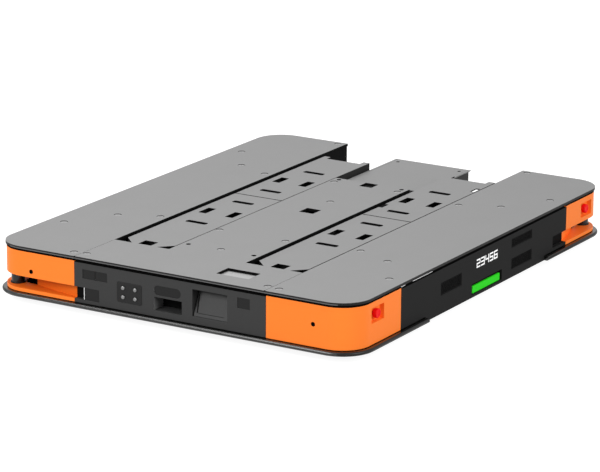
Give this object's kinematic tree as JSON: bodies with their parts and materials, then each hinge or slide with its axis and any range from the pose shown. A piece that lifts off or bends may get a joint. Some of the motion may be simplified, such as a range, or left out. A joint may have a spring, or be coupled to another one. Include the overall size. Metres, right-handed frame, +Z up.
{
  "type": "autonomous mobile robot",
  "caption": "Low flat wheeled robot with two rising platforms in channels in its deck, corner scanner slots, emergency stops, charging contacts and a rubber bumper.",
  "frame": {"origin": "on the floor under the middle of the body", "axes": "-Y to the front, where the camera and charging contacts are, +X to the right side of a viewer who faces the front, +Z up"},
  "size_m": [1.019, 1.295, 0.145],
  "materials": {
    "deck_grey": "fine matt powder coat",
    "frame_grey": "fine matt powder coat",
    "body_orange": "satin powder coat",
    "panel_black": "satin powder coat",
    "sheet_steel": "matt powder coat",
    "lift_paint": "fine matt powder coat",
    "bright_steel": "turned and zinc plated",
    "contact_metal": "polished plating",
    "cast_alloy": "cast and bead blasted",
    "zinc_steel": "pressed and zinc plated",
    "castor_tread": "moulded polyurethane",
    "drive_tread": "moulded polyurethane tread",
    "bumper_rubber": "extruded rubber",
    "smoked_pane": "smoked acrylic",
    "light_green": "lit diffuser",
    "black_plastic": "moulded",
    "stop_red": "moulded, semi-gloss"
  },
  "bodies": {
    "chassis": {"deck_left_plate": "deck_grey", "deck_centre_plate": "deck_grey", "deck_right_plate": "deck_grey", "deck_screws": "bright_steel", "top_frame": "frame_grey", "base_pan": "sheet_steel", "lift_well_left": "sheet_steel", "lift_well_right": "sheet_steel", "hatch_plate": "frame_grey", "rear_cover": "panel_black", "battery_pack": "black_plastic", "controller": "cast_alloy", "cover_front_left": "body_orange", "cover_front_right": "body_orange", "cover_rear_left": "body_orange", "cover_rear_right": "body_orange", "front_panel": "panel_black", "front_lenses": "smoked_pane", "depth_camera": "black_plastic", "charge_block": "black_plastic", "charge_contacts": "contact_metal", "side_panel_left": "panel_black", "side_panel_right": "panel_black", "vent_grilles": "black_plastic", "status_lights": "light_green", "bumper_front": "bumper_rubber", "bumper_rear_left": "bumper_rubber", "bumper_rear_right": "bumper_rubber", "scanners": "black_plastic", "estop_blocks": "black_plastic", "gearmotor_left": "cast_alloy", "gearmotor_right": "cast_alloy", "castor_mounts": "sheet_steel", "lift_motors": "cast_alloy", "lift_guides": "bright_steel"},
    "drive_wheel_left": {"drive_tyre_left": "drive_tread", "drive_hub_left": "cast_alloy"},
    "lift_left": {"lift_plates_left": "lift_paint", "lift_frame_left": "lift_paint"},
    "wedge_left": {"wedge_carriage_left": "bright_steel"},
    "screw_left": {"lift_screw_left": "bright_steel"},
    "drive_wheel_right": {"drive_tyre_right": "drive_tread", "drive_hub_right": "cast_alloy"},
    "lift_right": {"lift_plates_right": "lift_paint", "lift_frame_right": "lift_paint"},
    "wedge_right": {"wedge_carriage_right": "bright_steel"},
    "screw_right": {"lift_screw_right": "bright_steel"},
    "castor_swivel_front_left": {"castor_fork_front_left": "zinc_steel"},
    "castor_roll_front_left": {"castor_wheel_front_left": "castor_tread"},
    "stop_button_front_left": {"estop_front_left": "stop_red"},
    "castor_swivel_front_right": {"castor_fork_front_right": "zinc_steel"},
    "castor_roll_front_right": {"castor_wheel_front_right": "castor_tread"},
    "stop_button_front_right": {"estop_front_right": "stop_red"},
    "castor_swivel_rear_left": {"castor_fork_rear_left": "zinc_steel"},
    "castor_roll_rear_left": {"castor_wheel_rear_left": "castor_tread"},
    "stop_button_rear_left": {"estop_rear_left": "stop_red"},
    "castor_swivel_rear_right": {"castor_fork_rear_right": "zinc_steel"},
    "castor_roll_rear_right": {"castor_wheel_rear_right": "castor_tread"},
    "stop_button_rear_right": {"estop_rear_right": "stop_red"}
  },
  "joints": [
    {"name": "drive_left", "type": "hinge", "parent": "chassis", "child": "drive_wheel_left", "pos_m": [-0.44, 0, 0.062], "axis": [1, 0, 0], "continuous": true},
    {"name": "lift_raise_left", "type": "slide", "parent": "chassis", "child": "lift_left", "axis": [0, 0, 1], "range_m": [0, 0.05]},
    {"name": "wedge_feed_left", "type": "slide", "parent": "chassis", "child": "wedge_left", "axis": [0, 1, 0], "range_m": [0, 0.10723]},
    {"name": "screw_spin_left", "type": "hinge", "parent": "chassis", "child": "screw_left", "pos_m": [-0.18575, -0.4, 0.056], "axis": [0, 1, 0], "range_deg": [-1930.06, 0]},
    {"name": "drive_right", "type": "hinge", "parent": "chassis", "child": "drive_wheel_right", "pos_m": [0.44, 0, 0.062], "axis": [1, 0, 0], "continuous": true},
    {"name": "lift_raise_right", "type": "slide", "parent": "chassis", "child": "lift_right", "axis": [0, 0, 1], "range_m": [0, 0.05]},
    {"name": "wedge_feed_right", "type": "slide", "parent": "chassis", "child": "wedge_right", "axis": [0, 1, 0], "range_m": [0, 0.10723]},
    {"name": "screw_spin_right", "type": "hinge", "parent": "chassis", "child": "screw_right", "pos_m": [0.18575, -0.4, 0.056], "axis": [0, 1, 0], "range_deg": [-1930.06, 0]},
    {"name": "castor_turn_front_left", "type": "hinge", "parent": "chassis", "child": "castor_swivel_front_left", "pos_m": [-0.375, -0.47, 0.09], "axis": [0, 0, 1], "continuous": true},
    {"name": "castor_spin_front_left", "type": "hinge", "parent": "castor_swivel_front_left", "child": "castor_roll_front_left", "pos_m": [-0.375, -0.448, 0.025], "axis": [1, 0, 0], "continuous": true},
    {"name": "stop_press_front_left", "type": "slide", "parent": "chassis", "child": "stop_button_front_left", "axis": [1, 0, 0], "range_m": [0, 0.004], "stiffness_N_per_m": 1500},
    {"name": "castor_turn_front_right", "type": "hinge", "parent": "chassis", "child": "castor_swivel_front_right", "pos_m": [0.375, -0.47, 0.09], "axis": [0, 0, 1], "continuous": true},
    {"name": "castor_spin_front_right", "type": "hinge", "parent": "castor_swivel_front_right", "child": "castor_roll_front_right", "pos_m": [0.375, -0.448, 0.025], "axis": [1, 0, 0], "continuous": true},
    {"name": "stop_press_front_right", "type": "slide", "parent": "chassis", "child": "stop_button_front_right", "axis": [-1, 0, 0], "range_m": [0, 0.004], "stiffness_N_per_m": 1500},
    {"name": "castor_turn_rear_left", "type": "hinge", "parent": "chassis", "child": "castor_swivel_rear_left", "pos_m": [-0.375, 0.47, 0.09], "axis": [0, 0, 1], "continuous": true},
    {"name": "castor_spin_rear_left", "type": "hinge", "parent": "castor_swivel_rear_left", "child": "castor_roll_rear_left", "pos_m": [-0.375, 0.492, 0.025], "axis": [1, 0, 0], "continuous": true},
    {"name": "stop_press_rear_left", "type": "slide", "parent": "chassis", "child": "stop_button_rear_left", "axis": [1, 0, 0], "range_m": [0, 0.004], "stiffness_N_per_m": 1500},
    {"name": "castor_turn_rear_right", "type": "hinge", "parent": "chassis", "child": "castor_swivel_rear_right", "pos_m": [0.375, 0.47, 0.09], "axis": [0, 0, 1], "continuous": true},
    {"name": "castor_spin_rear_right", "type": "hinge", "parent": "castor_swivel_rear_right", "child": "castor_roll_rear_right", "pos_m": [0.375, 0.492, 0.025], "axis": [1, 0, 0], "continuous": true},
    {"name": "stop_press_rear_right", "type": "slide", "parent": "chassis", "child": "stop_button_rear_right", "axis": [-1, 0, 0], "range_m": [0, 0.004], "stiffness_N_per_m": 1500}
  ],
  "couplings": [
    {"joint": "wedge_feed_left", "follows": "lift_raise_left", "ratio": 2.1445},
    {"joint": "screw_spin_left", "follows": "lift_raise_left", "rad_per_m": -673.72},
    {"joint": "wedge_feed_right", "follows": "lift_raise_right", "ratio": 2.1445},
    {"joint": "screw_spin_right", "follows": "lift_raise_right", "rad_per_m": -673.72}
  ]
}
